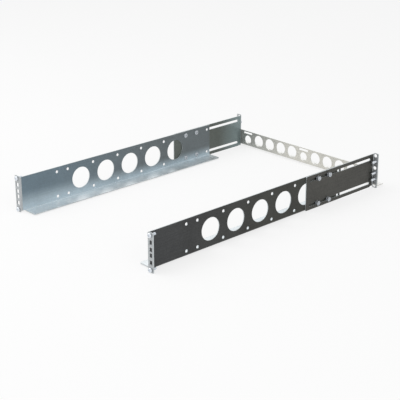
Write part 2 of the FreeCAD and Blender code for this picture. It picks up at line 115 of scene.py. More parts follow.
class Wiring:
    """Adds and links the nodes of one tree; a value is a socket or a plain number."""

    def __init__(self, tree):
        self.tree = tree
        self.tree.nodes.clear()

    def node(self, kind, **settings):
        made = self.tree.nodes.new(kind)
        for name, value in settings.items():
            setattr(made, name, value)
        return made

    def feed(self, socket, value):
        if isinstance(value, bpy.types.NodeSocket):
            self.tree.links.new(value, socket)
        else:
            socket.default_value = value

    def feed_colour(self, socket, value):
        """Feeds a colour socket from another socket or from red, green and blue."""
        self.feed(socket, value if isinstance(value, bpy.types.NodeSocket) else (*value, 1.0))

    def effect(self, tree, **values):
        """Places a group and feeds its inputs; an underscore stands for a space in a label."""
        made = self.node("ShaderNodeGroup", node_tree=tree)
        for label, value in values.items():
            self.feed(made.inputs[label.replace("_", " ")], value)
        return made.outputs

    def math(self, operation, first, second=0.0, clamp=False):
        made = self.node("ShaderNodeMath", operation=operation, use_clamp=clamp)
        self.feed(made.inputs[0], first)
        self.feed(made.inputs[1], second)
        return made.outputs[0]

    def fold(self, operation, values):
        """Works one operation along a row of values."""
        result = values[0]
        for value in values[1:]:
            result = self.math(operation, result, value)
        return result

    def total(self, *values):
        return self.fold("ADD", values)

    def product(self, *values):
        """Factors multiplied, or where all of these masks are one."""
        return self.fold("MULTIPLY", values)

    def either(self, *masks):
        return self.fold("MAXIMUM", masks)

    def without(self, mask):
        return self.math("SUBTRACT", 1.0, mask)

    def above(self, value, limit):
        return self.math("GREATER_THAN", value, limit)

    def below(self, value, limit):
        return self.math("LESS_THAN", value, limit)

    def size_of(self, value):
        return self.math("ABSOLUTE", value)

    def centred(self, value, weight):
        """weight times how far a value lies from one half."""
        return self.product(self.math("SUBTRACT", value, 0.5), weight)

    def ramp(self, value, low, high, start=0.0, end=1.0):
        """A smooth change from start, where the value is low, to end, where it is high."""
        made = self.node("ShaderNodeMapRange", interpolation_type="SMOOTHSTEP")
        for name, given in (("Value", value), ("From Min", low), ("From Max", high),
                            ("To Min", start), ("To Max", end)):
            self.feed(made.inputs[name], given)
        return made.outputs["Result"]

    def parts(self, vector):
        made = self.node("ShaderNodeSeparateXYZ")
        self.feed(made.inputs[0], vector)
        return made.outputs

    def stretched(self, vector, factors):
        made = self.node("ShaderNodeVectorMath", operation="MULTIPLY")
        self.feed(made.inputs[0], vector)
        self.feed(made.inputs[1], factors)
        return made.outputs[0]

    def noise(self, vector, scale, detail=2.0, roughness=0.5):
        made = self.node("ShaderNodeTexNoise")
        self.feed(made.inputs["Vector"], vector)
        for name, value in (("Scale", scale), ("Detail", detail), ("Roughness", roughness)):
            self.feed(made.inputs[name], value)
        return made.outputs["Fac"]

    def blend(self, mask, under, over):
        """The colour under where the mask is nought, and the colour over where it is one."""
        made = self.node("ShaderNodeMix", data_type="RGBA")
        self.feed(made.inputs[0], mask)
        self.feed_colour(made.inputs[6], under)
        self.feed_colour(made.inputs[7], over)
        return made.outputs[2]

    def shaded(self, colour, factor):
        made = self.node("ShaderNodeVectorMath", operation="SCALE")
        self.feed(made.inputs[0], colour)
        self.feed(made.inputs["Scale"], factor)
        return made.outputs[0]

    def relief(self, shader, height, strength, distance):
        """Tilts the shader's normal by a height that varies over the surface."""
        made = self.node("ShaderNodeBump")
        for name, value in (("Strength", strength), ("Distance", distance), ("Height", height)):
            self.feed(made.inputs[name], value)
        self.feed(shader.inputs["Normal"], made.outputs[0])


# --------------------------------------------------------------- shader groups

POSITION = ("Position", "NodeSocketVector", None)
NORMAL = ("Normal", "NodeSocketVector", None)
STRETCH = ("Stretch", "NodeSocketVector", (500, 9, 500))


def effect_group(name, takes, gives, fill):
    """A shader node group: fill gets the wiring and the inputs, and returns the outputs in order."""
    if name in bpy.data.node_groups:
        return bpy.data.node_groups[name]
    tree = bpy.data.node_groups.new(name, "ShaderNodeTree")
    for label, kind, default in takes:
        socket = tree.interface.new_socket(label, in_out="INPUT", socket_type=kind)
        if default is not None:
            socket.default_value = default
    for label in gives:
        tree.interface.new_socket(label, in_out="OUTPUT", socket_type="NodeSocketFloat")
    wiring = Wiring(tree)
    entry = wiring.node("NodeGroupInput")
    leave = wiring.node("NodeGroupOutput")
    for socket, value in zip(leave.inputs, fill(wiring, entry.outputs)):
        wiring.feed(socket, value)
    return tree


def zinc_grain():
    """Spangle, rolling streaks, broad clouds and fine grain of a zinc coat."""

    def fill(wiring, given):
        cells = wiring.node("ShaderNodeTexVoronoi", feature="F1")
        wiring.feed(cells.inputs["Vector"], given["Position"])
        wiring.feed(cells.inputs["Scale"], given["Spangle Scale"])
        spangle = wiring.parts(cells.outputs["Color"])[0]
        along = wiring.stretched(given["Position"], given["Stretch"])
        streak = wiring.noise(along, scale=1.0, detail=3.0, roughness=0.6)
        cloud = wiring.noise(given["Position"], scale=13.0)
        grain = wiring.noise(given["Position"], scale=1500.0)
        height = wiring.total(wiring.product(streak, 0.6), wiring.product(grain, 0.3))
        return spangle, streak, cloud, grain, height

    return effect_group("Zinc Grain", [POSITION, STRETCH, ("Spangle Scale", "NodeSocketFloat", 330.0)],
                        ["Spangle", "Streak", "Cloud", "Grain", "Height"], fill)


def rubbed_and_glinting_edges():
    """Mask of rubbed corners and punched rims, broken up by noise, which also paints highlights on edges that
    the mesh leaves sharp.
    """

    def fill(wiring, given):
        round_over = wiring.node("ShaderNodeBevel", samples=4)
        wiring.feed(round_over.inputs["Radius"], given["Width"])
        surface = wiring.node("ShaderNodeNewGeometry")
        agree = wiring.node("ShaderNodeVectorMath", operation="DOT_PRODUCT")
        wiring.feed(agree.inputs[0], round_over.outputs[0])
        wiring.feed(agree.inputs[1], surface.outputs["Normal"])
        corner = wiring.ramp(agree.outputs["Value"], 0.995, 0.90)  # one is flat, less is a corner
        patches = wiring.noise(given["Position"], scale=260.0, detail=3.0, roughness=0.65)
        return [wiring.product(corner, wiring.ramp(patches, 0.38, 0.62))]

    return effect_group("Rubbed And Glinting Edges", [POSITION, ("Width", "NodeSocketFloat", 0.0006)], ["Mask"], fill)


def handling_marks():
    """Fine scratches along the sheet and dull smudges left by handling."""

    def fill(wiring, given):
        along = wiring.stretched(given["Position"], given["Stretch"])
        lines = wiring.ramp(wiring.noise(along, scale=2.3, detail=1.0), 0.66, 0.70)
        handled = wiring.ramp(wiring.noise(given["Position"], scale=21.0), 0.50, 0.62)
        smears = wiring.noise(given["Position"], scale=34.0, detail=4.0, roughness=0.7)
        return wiring.product(lines, handled), wiring.ramp(smears, 0.45, 0.70)

    return effect_group("Handling Marks", [POSITION, STRETCH], ["Scratch", "Smudge"], fill)


def rail_zones():
    """Masks of a front rail's bent sheet: outside, cut edges, ear, shelf, and height up the web."""

    def fill(wiring, given):
        across, along, up = wiring.parts(given["Position"])
        side, front, level = wiring.parts(given["Normal"])
        reach = wiring.size_of(across)
        outward = wiring.product(side, wiring.math("SIGN", across))
        low = wiring.below(up, SHELF_TOP + 0.2 * PLATE)
        ear = wiring.below(along, 1.55 * PLATE)
        body = wiring.without(ear)
        in_web = wiring.product(wiring.above(reach, WEB_OUTER - 1.2 * PLATE), body, wiring.without(low))
        web_cut = wiring.product(in_web, wiring.below(wiring.size_of(side), TURNED))
        shelf_end = wiring.product(low, body, wiring.above(wiring.size_of(front), SQUARE_ON))
        lip = wiring.product(low, body, wiring.below(reach, SHELF_LIP + 0.0003))
        ear_cut = wiring.product(wiring.below(along, 1.02 * PLATE),
                                 wiring.below(wiring.size_of(front), FACING),
                                 wiring.above(reach, WEB_OUTER + 0.0004))
        cut = wiring.either(web_cut, shelf_end, lip, ear_cut)
        under = wiring.product(wiring.below(up, SHELF_UNDER + 0.4 * PLATE), wiring.below(level, -FACING))
        outside = wiring.product(wiring.either(wiring.above(outward, FACING), under), body)
        shelf = wiring.product(low, wiring.above(level, FACING))
        climb = wiring.math("DIVIDE", wiring.math("SUBTRACT", up, EAR_FOOT), -2 * EAR_FOOT, clamp=True)
        return outside, cut, ear, shelf, climb

    return effect_group("Rail Zones", [POSITION, NORMAL], ["Outside", "Cut", "Ear", "Shelf", "Climb"], fill)


def bracket_zones():
    """Masks of a rear bracket's sheet: outside, cut edges and rear ear."""

    def fill(wiring, given):
        across, along = wiring.parts(given["Position"])[:2]
        side, front = wiring.parts(given["Normal"])[:2]
        outward = wiring.product(side, wiring.math("SIGN", across))
        ear = wiring.above(along, REAR_MOUNT - 0.8 * PLATE)
        body = wiring.without(ear)
        web_cut = wiring.product(body, wiring.below(wiring.size_of(side), TURNED))
        ear_cut = wiring.product(wiring.above(along, REAR_MOUNT - 0.01 * PLATE),
                                 wiring.below(wiring.size_of(front), FACING),
                                 wiring.above(wiring.size_of(across), WEB_OUTER + 1.6 * PLATE))
        cut = wiring.either(web_cut, ear_cut)
        outside = wiring.product(wiring.above(outward, FACING), body)
        return outside, cut, ear

    return effect_group("Bracket Zones", [POSITION, NORMAL], ["Outside", "Cut", "Ear"], fill)


# ------------------------------------------------------------------- materials


def new_material(name):
    """An empty node material with its shader, and the surface's own place and normal."""
    material = bpy.data.materials.new(name)
    material.use_nodes = True
    wiring = Wiring(material.node_tree)
    out = wiring.node("ShaderNodeOutputMaterial")
    shader = wiring.node("ShaderNodeBsdfPrincipled")
    wiring.feed(out.inputs["Surface"], shader.outputs[0])
    own = wiring.node("ShaderNodeTexCoord")
    return material, wiring, shader, own.outputs["Object"], own.outputs["Normal"]


def finish_zinc(wiring, shader, colour, position, settings, cut=0.0, rub_glint_share=RUB_GLINT_SHARE, outside=0.0,
                facing_up=None):
    """Lays bright cut edges, rubbed corners with painted highlights, grain, marks and relief over a zinc
    sheet's colour and feeds its shader.
    """
    rub_and_glint = wiring.effect(rubbed_and_glinting_edges(), Position=position)["Mask"]
    # Rubbed corners are brightened, partly as real rubbing and partly as painted highlight.
    bright = wiring.either(cut, wiring.product(rub_and_glint, rub_glint_share))
    colour = wiring.blend(bright, colour, settings.cut_colour)
    grain = wiring.effect(zinc_grain(), Position=position, Stretch=settings.stretch)
    marks = wiring.effect(handling_marks(), Position=position, Stretch=settings.stretch)
    uneven = wiring.total(wiring.centred(grain["Spangle"], settings.spangle),
                          wiring.centred(grain["Streak"], settings.streak),
                          wiring.centred(grain["Cloud"], settings.cloud),
                          wiring.product(marks["Scratch"], 0.18))
    contrast = wiring.ramp(outside, 0.0, 1.0, 1.0, DARK_CONTRAST)
    shade = wiring.total(1.0, wiring.product(uneven, contrast))
    wiring.feed(shader.inputs["Base Color"], wiring.shaded(colour, shade))
    rough = wiring.total(settings.roughness, wiring.centred(grain["Cloud"], 0.12),
                         wiring.centred(grain["Spangle"], 0.04), wiring.product(marks["Smudge"], 0.08),
                         wiring.product(cut, 0.12), wiring.product(rub_and_glint, -0.04))
    wiring.feed(shader.inputs["Roughness"], rough)
    metal = settings.metal
    # Faces that look up get more metal under their painted reflection.
    if facing_up is not None:
        metal = wiring.ramp(facing_up, 0.0, 1.0, settings.metal, FACING_UP_METAL)
    wiring.feed(shader.inputs["Metallic"], metal)
    wiring.relief(shader, grain["Height"], strength=settings.relief, distance=0.0001)


def rail_material(settings):
    """Galvanised steel of the front rails, with a painted bluish reflection near the front, painted light low
    on the web, a painted reflection on the shelf and painted shade on the outer side.
    """
    material, wiring, shader, position, normal = new_material("galvanised_rail")
    zones = wiring.effect(rail_zones(), Position=position, Normal=normal)
    along = wiring.parts(position)[1]
    rearward = wiring.ramp(along, 0.0, settings.tint_reach)
    # Painted bluish reflection near the ear, fading towards the rear.
    inside = wiring.blend(rearward, settings.front_reflection_colour, settings.inner_colour)
    rear_foot = FOOT_NARROWING * settings.foot_reach
    foot_height = wiring.ramp(along, 0.0, settings.tint_reach, settings.foot_reach, rear_foot)
    # Painted light low on the web, lower towards the rear.
    inside = wiring.blend(wiring.ramp(zones["Climb"], foot_height, 0.0), inside, settings.foot_light_colour)
    # Painted reflection on the shelf's top, fading towards the rear.
    shelf = wiring.blend(rearward, settings.shelf_reflection_colour, settings.shelf_rear_reflection_colour)
    inside = wiring.blend(zones["Shelf"], inside, shelf)
    # Painted shade on the outer side, fading from its front colour to its rear one.
    outside = wiring.blend(rearward, settings.outer_front_shade_colour, settings.outer_shade_colour)
    colour = wiring.blend(zones["Outside"], inside, outside)
    # Painted light on the front ear.
    colour = wiring.blend(zones["Ear"], colour, settings.ear_light_colour)
    finish_zinc(wiring, shader, colour, position, settings, cut=zones["Cut"], outside=zones["Outside"],
                facing_up=zones["Shelf"])
    return material


def bracket_material(settings):
    """Galvanised steel of the slotted rear brackets, with painted light making the inside paler near the ear
    and painted shade darkening the outer side.
    """
    material, wiring, shader, position, normal = new_material("galvanised_bracket")
    zones = wiring.effect(bracket_zones(), Position=position, Normal=normal)
    along = wiring.parts(position)[1]
    pale_from, pale_to = REAR_MOUNT - settings.rear_reach, REAR_MOUNT - 0.012
    rearward = wiring.ramp(along, pale_from, pale_to)
    # Painted light inside, growing towards the rear ear.
    inside = wiring.blend(rearward, settings.inner_colour, settings.rear_painted_light_colour)
    # Painted shade on the outer side.
    colour = wiring.blend(zones["Outside"], inside, settings.outer_shade_colour)
    # Painted light on the rear ear.
    colour = wiring.blend(zones["Ear"], colour, settings.ear_light_colour)
    finish_zinc(wiring, shader, colour, position, settings, cut=zones["Cut"], outside=zones["Outside"])
    return material


def crossbar_material(settings):
    """Pale galvanised steel of the perforated crossbar, with painted shade darkening its left end and a
    painted reflection on faces that look up.
    """
    material, wiring, shader, position, normal = new_material("galvanised_crossbar")
    across = wiring.parts(position)[0]
    # Painted shade at the bar's left end, beside the ear.
    shade_from, shade_to = -0.01, -WEB_OUTER
    left_shade = wiring.ramp(across, shade_from, shade_to)
    colour = wiring.blend(left_shade, settings.face_colour, settings.end_shade_colour)
    # Painted reflection: faces that look up are given a near-white colour for the bright sky they reflect.
    topside = wiring.above(wiring.parts(normal)[2], 0.6)
    colour = wiring.blend(topside, colour, settings.flange_reflection_colour)
    finish_zinc(wiring, shader, colour, position, settings, rub_glint_share=0.5, facing_up=topside)
    return material


def fastener_material(name, colour, settings):
    """Bright zinc plate with turning rings, for pieces whose own axis is Z."""
    material, wiring, shader, position, _ = new_material(name)
    across, along = wiring.parts(position)[:2]
    radius = wiring.math("SQRT", wiring.total(wiring.math("POWER", across, 2.0),
                                              wiring.math("POWER", along, 2.0)))
    drift = wiring.product(wiring.noise(position, scale=700.0), 1.6)
    ring_rate = 21000.0  # radians a metre, which is a ring every 0.3 mm
    rings = wiring.math("SINE", wiring.total(wiring.product(radius, ring_rate), drift))
    rings = wiring.total(wiring.product(rings, 0.5), 0.5)
    cloud = wiring.noise(position, scale=420.0, detail=3.0, roughness=0.6)
    grain = wiring.noise(position, scale=5200.0)
    rub_and_glint = wiring.effect(rubbed_and_glinting_edges(), Position=position, Width=0.00022)["Mask"]
    # Rubbed edges are brightened, partly as real rubbing and partly as painted highlight.
    shade = wiring.total(0.98, wiring.centred(cloud, 0.30), wiring.centred(rings, 0.06),
                         wiring.centred(grain, 0.10), wiring.product(rub_and_glint, 0.12))
    thick = [part * share for part, share in zip(colour, settings.plating_tint)]
    tint = wiring.blend(wiring.ramp(cloud, 0.35, 0.75), colour, thick)
    wiring.feed(shader.inputs["Base Color"], wiring.shaded(tint, shade))
    rough = wiring.total(settings.roughness, wiring.centred(cloud, 0.10), wiring.product(rub_and_glint, -0.04))
    wiring.feed(shader.inputs["Roughness"], rough)
    wiring.feed(shader.inputs["Metallic"], settings.metal)
    height = wiring.total(wiring.product(rings, 0.7), wiring.product(grain, 0.5))
    wiring.relief(shader, height, strength=0.25, distance=0.00004)
    return material


def coat(names, material):
    """Gives frame nodes their finish; their shapes stay as they are."""
    if not names:
        raise RuntimeError(f"no node takes the finish {material.name}")
    for name in names:
        piece = frame["nodes"][name]
        piece.data.materials.clear()
        piece.data.materials.append(material)


# ------------------------------------------------------------------ mesh tools


def lathe(mesh, profile, steps, closed=False):
    """Turns (radius, height) points about Z; a point on the axis becomes one vertex."""
    rings = []
    for radius, height in profile:
        if radius < 1e-7:
            rings.append([mesh.verts.new((0.0, 0.0, height))] * steps)
            continue
        angles = [math.tau * index / steps for index in range(steps)]
        rings.append([mesh.verts.new((radius * math.cos(angle), radius * math.sin(angle), height))
                      for angle in angles])
    pairs = list(zip(rings, rings[1:]))
    if closed:
        pairs.append((rings[-1], rings[0]))
    for lower, upper in pairs:
        for index in range(steps):
            following = (index + 1) % steps
            corners = [lower[index], lower[following], upper[following], upper[index]]
            kept = [corner for place, corner in enumerate(corners) if corner not in corners[:place]]
            if len(kept) > 2:
                mesh.faces.new(kept)


def prism(mesh, outlines):
    """Closes a stack of equal-length (x, y, z) outlines with sides and two caps."""
    loops = [[mesh.verts.new(point) for point in outline] for outline in outlines]
    for lower, upper in zip(loops, loops[1:]):
        for index in range(len(lower)):
            following = (index + 1) % len(lower)
            mesh.faces.new((lower[index], lower[following], upper[following], upper[index]))
    mesh.faces.new(list(reversed(loops[0])))
    mesh.faces.new(loops[-1])


def thread(mesh, start, end, major, minor, pitch, steps):
    """A threaded rod from start to end on Z, with a bevelled tip and flat ends."""
    shape = ((0.0, minor), (0.18, minor), (0.46, major), (0.62, major))
    tip, taper = 0.9 * minor, 0.9 * pitch
    angles = [math.tau * index / steps for index in range(steps + 1)]
    rows = []
    for turn in range(-1, math.ceil((end - start) / pitch) + 2):
        for share, radius in shape:
            row = []
            for index, angle in enumerate(angles):
                height = min(max(start + pitch * (turn + share + index / steps), start), end)
                reach = min(radius, max(tip, major - max(0.0, height - (end - taper))))
                row.append(mesh.verts.new((reach * math.cos(angle), reach * math.sin(angle), height)))
            rows.append(row)
    for lower, upper in zip(rows, rows[1:]):
        for index in range(steps):
            mesh.faces.new((lower[index], lower[index + 1], upper[index + 1], upper[index]))
    for height, radius in ((start, minor), (end, tip)):
        rim = [mesh.verts.new((radius * math.cos(angle), radius * math.sin(angle), height))
               for angle in angles[:-1]]
        mesh.faces.new(rim if height == end else list(reversed(rim)))
    bmesh.ops.remove_doubles(mesh, verts=mesh.verts, dist=1e-6)


def as_mesh(name, mesh):
    """Mesh data with every face turned outwards; the working mesh is freed."""
    bmesh.ops.recalc_face_normals(mesh, faces=mesh.faces)
    data = bpy.data.meshes.new(name)
    mesh.to_mesh(data)
    mesh.free()
    return data


def modified(name, base, kind, **settings):
    """The mesh of base after one modifier with these settings."""
    body = bpy.data.objects.new(f"{name}_body", base)
    bpy.context.scene.collection.objects.link(body)
    modifier = body.modifiers.new("change", kind)
    for setting, value in settings.items():
        setattr(modifier, setting, value)
    bpy.context.view_layer.update()
    result = bpy.data.meshes.new_from_object(body.evaluated_get(bpy.context.evaluated_depsgraph_get()))
    bpy.data.objects.remove(body)
    if not result.polygons:
        raise RuntimeError(f"{name} came out empty")
    return result


def combined(name, base, tool, operation):
    """The mesh of base cut by, or kept only inside, tool."""
    cutter = bpy.data.objects.new(f"{name}_cutter", tool)
    bpy.context.scene.collection.objects.link(cutter)
    result = modified(name, base, "BOOLEAN", operation=operation, object=cutter, solver="EXACT")
    bpy.data.objects.remove(cutter)
    return result


def eased(name, data, width):
    """The mesh with its sharp corners bevelled a little, and points that this leaves too close welded."""
    result = modified(name, data, "BEVEL", width=width, segments=2, limit_method="ANGLE",
                      angle_limit=EASED_ANGLE, use_clamp_overlap=True)
    mesh = bmesh.new()
    mesh.from_mesh(result)
    bmesh.ops.remove_doubles(mesh, verts=mesh.verts, dist=WELD)
    bmesh.ops.dissolve_degenerate(mesh, dist=WELD, edges=mesh.edges)
    return as_mesh(name, mesh)


def smooth(data):
    """The same mesh, smooth but at its sharp corners."""
    data.polygons.foreach_set("use_smooth", [True] * len(data.polygons))
    data.set_sharp_from_angle(angle=SMOOTH_ANGLE)
    return data


def joined(name, *parts):
    """One mesh that holds all these meshes' shells."""
    mesh = bmesh.new()
    for part in parts:
        mesh.from_mesh(part)
    data = bpy.data.meshes.new(name)
    mesh.to_mesh(data)
    mesh.free()
    return data


def arc(centre, radii, start, end, steps):
    """Points of an ellipse's arc, as (radius, height) pairs."""
    turns = [math.radians(start + (end - start) * index / steps) for index in range(steps + 1)]
    return [(centre[0] + radii[0] * math.cos(turn), centre[1] + radii[1] * math.sin(turn)) for turn in turns]


def cross_outline(reach, arm, height):
    """Corners of an upright cross, whose arms end at reach and are twice arm wide."""
    quarter = [(reach, arm), (arm, arm), (arm, reach)]
    outline = []
    for _ in range(4):
        outline += [(across, up, height) for across, up in quarter]
        quarter = [(-up, across) for across, up in quarter]
    return outline


def hexagon_outline(flats, height):
    """Corners of a hexagon, flats wide from side to side."""
    radius = flats / 2 / math.cos(math.pi / 6)
    turns = [math.tau * index / 6 for index in range(6)]
    return [(radius * math.cos(turn), radius * math.sin(turn), height) for turn in turns]


def stand_in(node, name, data, place, material):
    """Puts a finished piece where a frame node is, to be shown instead of it."""
    piece = bpy.data.objects.new(name, data)
    bpy.context.scene.collection.objects.link(piece)
    piece.matrix_world = place
    if not data.materials:
        data.materials.append(material)
    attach(piece, BODY_OF[node])
    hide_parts(node)


def seat(node, head_height, towards):
    """A fastener's own frame, whose Z runs from under its head down its shank, and the shank's length."""
    low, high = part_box(node)
    axis = "XY".index(towards[1])
    sign = 1.0 if towards[0] == "+" else -1.0
    place = (low + high) / 2
    place[axis] = low[axis] + head_height if sign > 0 else high[axis] - head_height
    length = high[axis] - low[axis] - head_height
    direction = Vector((0, 0, 0))
    direction[axis] = sign
    spin = direction.to_track_quat("Z", "Y").to_matrix().to_4x4()
    return Matrix.Translation(place) @ spin, length


# -------------------------------------------------------------------- settings


COLOUR = {"size": 3, "min": 0.0, "max": 1.0, "subtype": "COLOR"}
SHARE = {"min": 0.0, "max": 1.0, "subtype": "FACTOR"}


class SheetLook(bpy.types.PropertyGroup):
    """What the finishes of all the zinc sheets share"""

    metal: FloatProperty(
        name="Metal", description="Share of the surface that reflects as bare metal",
        default=0.55, **SHARE)
    spangle: FloatProperty(
        name="Spangle", description="Difference in brightness between zinc crystals",
        default=0.10, **SHARE)
    streak: FloatProperty(
        name="Rolling streaks", description="Strength of the lines left by rolling",
        default=0.28, **SHARE)
    cloud: FloatProperty(
        name="Clouding", description="Broad patches of lighter and darker zinc", default=0.34, **SHARE)
    relief: FloatProperty(
        name="Relief", description="Strength of the zinc's fine unevenness", default=0.22, **SHARE)
    cut_colour: FloatVectorProperty(
        name="Cut edge", description="Bright metal of sheared and punched edges",
        default=(0.56, 0.60, 0.61), **COLOUR)


class EaredLook(SheetLook):
    """What the finishes of the sheets with ears share"""

    roughness: FloatProperty(
        name="Roughness", description="Blur of the sheet's reflections",
        default=0.37, min=0.05, max=1.0, subtype="FACTOR")
    stretch: FloatVectorProperty(
        name="Streak stretch", description="Streaks per metre along each axis",
        default=(520.0, 8.0, 520.0), size=3)
    # Painted light: the ear is given a paler colour than the sheet it is bent from.
    ear_light_colour: FloatVectorProperty(
        name="Ear", description="Zinc on the ear that meets the rack post",
        default=(0.46, 0.48, 0.49), **COLOUR)


class RailLook(EaredLook):
    """Finish of the front rails"""

    inner_colour: FloatVectorProperty(
        name="Inside", description="Zinc on the side that faces the server",
        default=(0.138, 0.160, 0.168), **COLOUR)
    # Painted shade: the rail's outer side is given a darker colour for the dark surroundings it reflects.
    outer_shade_colour: FloatVectorProperty(
        name="Outside", description="Darker zinc on the outer side",
        default=(0.042, 0.043, 0.036), **COLOUR)
    # Painted light: the web is made paler low down, towards the shelf.
    foot_light_colour: FloatVectorProperty(
        name="Foot of the web", description="Paler zinc low on the web",
        default=(0.50, 0.60, 0.66), **COLOUR)
    # Painted reflection: the web is made bluer near the ear, fading towards the rear.
    front_reflection_colour: FloatVectorProperty(
        name="Front of the web", description="Bluer zinc near the ear",
        default=(0.154, 0.212, 0.252), **COLOUR)
    # Painted shade on the rail's outer side near the ear, a little bluer than further back.
    outer_front_shade_colour: FloatVectorProperty(
        name="Front of the outside", description="Bluer zinc outside, near the ear",
        default=(0.048, 0.050, 0.052), **COLOUR)
    # Painted reflection: the shelf's top, which looks up, is given a near-white colour for the bright sky it
    # reflects, a little less at the rear.
    shelf_reflection_colour: FloatVectorProperty(
        name="Shelf", description="Polished zinc of the shelf", default=(0.90, 0.94, 0.96), **COLOUR)
    shelf_rear_reflection_colour: FloatVectorProperty(
        name="Rear of the shelf", description="Zinc of the shelf's rear end",
        default=(0.78, 0.84, 0.87), **COLOUR)
    # How far up the web the painted light at the foot reaches.
    foot_reach: FloatProperty(
        name="Foot reach", description="How far up the web the paler zinc goes",
        default=0.62, min=0.05, max=1.0, subtype="FACTOR")
    # Length from the front over which the painted reflection near the ear fades; the other painted colours
    # fade over it too.
    tint_reach: FloatProperty(
        name="Tint reach", description="Distance over which the bluer zinc fades",
        default=0.45, unit="LENGTH")


class BracketLook(EaredLook):
    """Finish of the slotted rear brackets"""

    inner_colour: FloatVectorProperty(
        name="Inside", description="Zinc on the side that faces the server",
        default=(0.110, 0.124, 0.112), **COLOUR)
    # Painted shade: the bracket's outer side is given a darker colour for the dark surroundings it reflects.
    outer_shade_colour: FloatVectorProperty(
        name="Outside", description="Darker zinc on the outer side",
        default=(0.062, 0.061, 0.054), **COLOUR)
    # Painted light: the inside is made paler towards the rear ear.
    rear_painted_light_colour: FloatVectorProperty(
        name="Rear of the inside", description="Paler zinc inside, near the rear ear",
        default=(0.215, 0.270, 0.272), **COLOUR)
    # Distance from the ear at which the painted light inside starts.
    rear_reach: FloatProperty(
        name="Rear reach", description="Distance from the ear at which the paler zinc starts",
        default=0.095, unit="LENGTH")


class CrossbarLook(SheetLook):
    """Finish of the perforated crossbar"""

    roughness: FloatProperty(
        name="Roughness", description="Blur of the bar's reflections",
        default=0.42, min=0.05, max=1.0, subtype="FACTOR")
    stretch: FloatVectorProperty(
        name="Streak stretch", description="Streaks per metre along each axis",
        default=(8.0, 520.0, 520.0), size=3)
    face_colour: FloatVectorProperty(
        name="Face", description="Pale zinc along the bar", default=(0.64, 0.63, 0.58), **COLOUR)
    # Painted shade: the bar's left end is given a darker colour.
    end_shade_colour: FloatVectorProperty(
        name="Left end", description="Duller zinc at the bar's left end",
        default=(0.38, 0.39, 0.37), **COLOUR)
    # Painted reflection on the bar's faces that look up.
    flange_reflection_colour: FloatVectorProperty(
        name="Flange", description="Polished zinc on top of the bar's flange",
        default=(0.93, 0.93, 0.91), **COLOUR)


class FastenerLook(bpy.types.PropertyGroup):
    """Shape and finish of the screws, bolts, nuts and washers"""

    metal: FloatProperty(
        name="Metal", description="Share of the surface that reflects as bare metal",
        default=0.85, **SHARE)
    roughness: FloatProperty(
        name="Roughness", description="Blur of the plating's reflections",
        default=0.21, min=0.05, max=1.0, subtype="FACTOR")
    screw_colour: FloatVectorProperty(
        name="Screws", description="Plating of the rack screws", default=(0.80, 0.82, 0.84), **COLOUR)
    bolt_colour: FloatVectorProperty(
        name="Bolts", description="Plating of the slide bolts", default=(0.50, 0.52, 0.54), **COLOUR)
    nut_colour: FloatVectorProperty(
        name="Nuts", description="Plating of the slide nuts", default=(0.54, 0.56, 0.58), **COLOUR)
    washer_colour: FloatVectorProperty(
        name="Washers", description="Plating of the washers", default=(0.38, 0.39, 0.40), **COLOUR)
    plating_tint: FloatVectorProperty(
        name="Tint", description="Colour of the thicker plating in patches",
        default=(0.86, 0.92, 1.0), **COLOUR)
    shank: FloatProperty(
        name="Thread diameter", description="Outer diameter of the threads",
        default=0.00596, unit="LENGTH", precision=5)
    pitch: FloatProperty(
        name="Thread pitch", description="Distance between two turns of the thread",
        default=0.001, unit="LENGTH", precision=5)
    steps: IntProperty(
        name="Steps", description="Number of flats round a thread or a head", default=40, min=12, max=96)


class StageLook(bpy.types.PropertyGroup):
    """Floor, lamps and camera"""

    floor_colour: FloatVectorProperty(
        name="Floor", description="Colour of the floor", default=(0.96, 0.96, 0.96), **COLOUR)
    floor_glow: FloatProperty(
        name="Floor glow", description="Share of the floor that shows as plain white",
        default=0.75, **SHARE)
    floor_size: FloatProperty(
        name="Floor size", description="Length of the floor's sides", default=24.0, unit="LENGTH")
    sky: FloatProperty(
        name="Sky", description="Brightness of the even light from all round", default=0.62, min=0.0)
    key: FloatProperty(
        name="Key lamp", description="Power of the large lamp overhead", default=34.0, unit="POWER")
    fill: FloatProperty(
        name="Fill lamp", description="Power of the lamp beside the camera", default=9.0, unit="POWER")
    lens: FloatProperty(
        name="Lens", description="Focal length of the camera",
        default=0.09685, unit="LENGTH", precision=5)
    distance: FloatProperty(
        name="Distance", description="From the camera to the point it looks at",
        default=2.59096, unit="LENGTH", precision=5)
    azimuth: FloatProperty(
        name="Azimuth", description="Camera's turn round the object from the front",
        default=math.radians(46.526), unit="ROTATION")
    elevation: FloatProperty(
        name="Elevation", description="Camera's height above the horizon",
        default=math.radians(20.902), unit="ROTATION")
    look_at: FloatVectorProperty(
        name="Look at", description="Point in the middle of the view",
        default=(-0.014818, 0.370, -0.052723), size=3, subtype="TRANSLATION")


class ServerRailSettings(bpy.types.PropertyGroup):
    """All that can be set for the rail pair"""

    rail: PointerProperty(type=RailLook, name="Front rails", description="Finish of the front rails")
    bracket: PointerProperty(
        type=BracketLook, name="Rear brackets", description="Finish of the rear brackets")
    crossbar: PointerProperty(type=CrossbarLook, name="Crossbar", description="Finish of the crossbar")
    fastener: PointerProperty(
        type=FastenerLook, name="Fasteners", description="Shape and finish of the fasteners")
    stage: PointerProperty(type=StageLook, name="Stage", description="Floor, lamps and camera")


# ------------------------------------------------------------------- operators


class SERVERRAILS_OT_front_rails(bpy.types.Operator):
    """Give both front rails their galvanised finish"""

    bl_idname = "serverrails.front_rails"
    bl_label = "Finish Front Rails"

    def execute(self, context):
        coat(nodes_named("front_rail"), rail_material(context.scene.server_rails.rail))
        return {"FINISHED"}


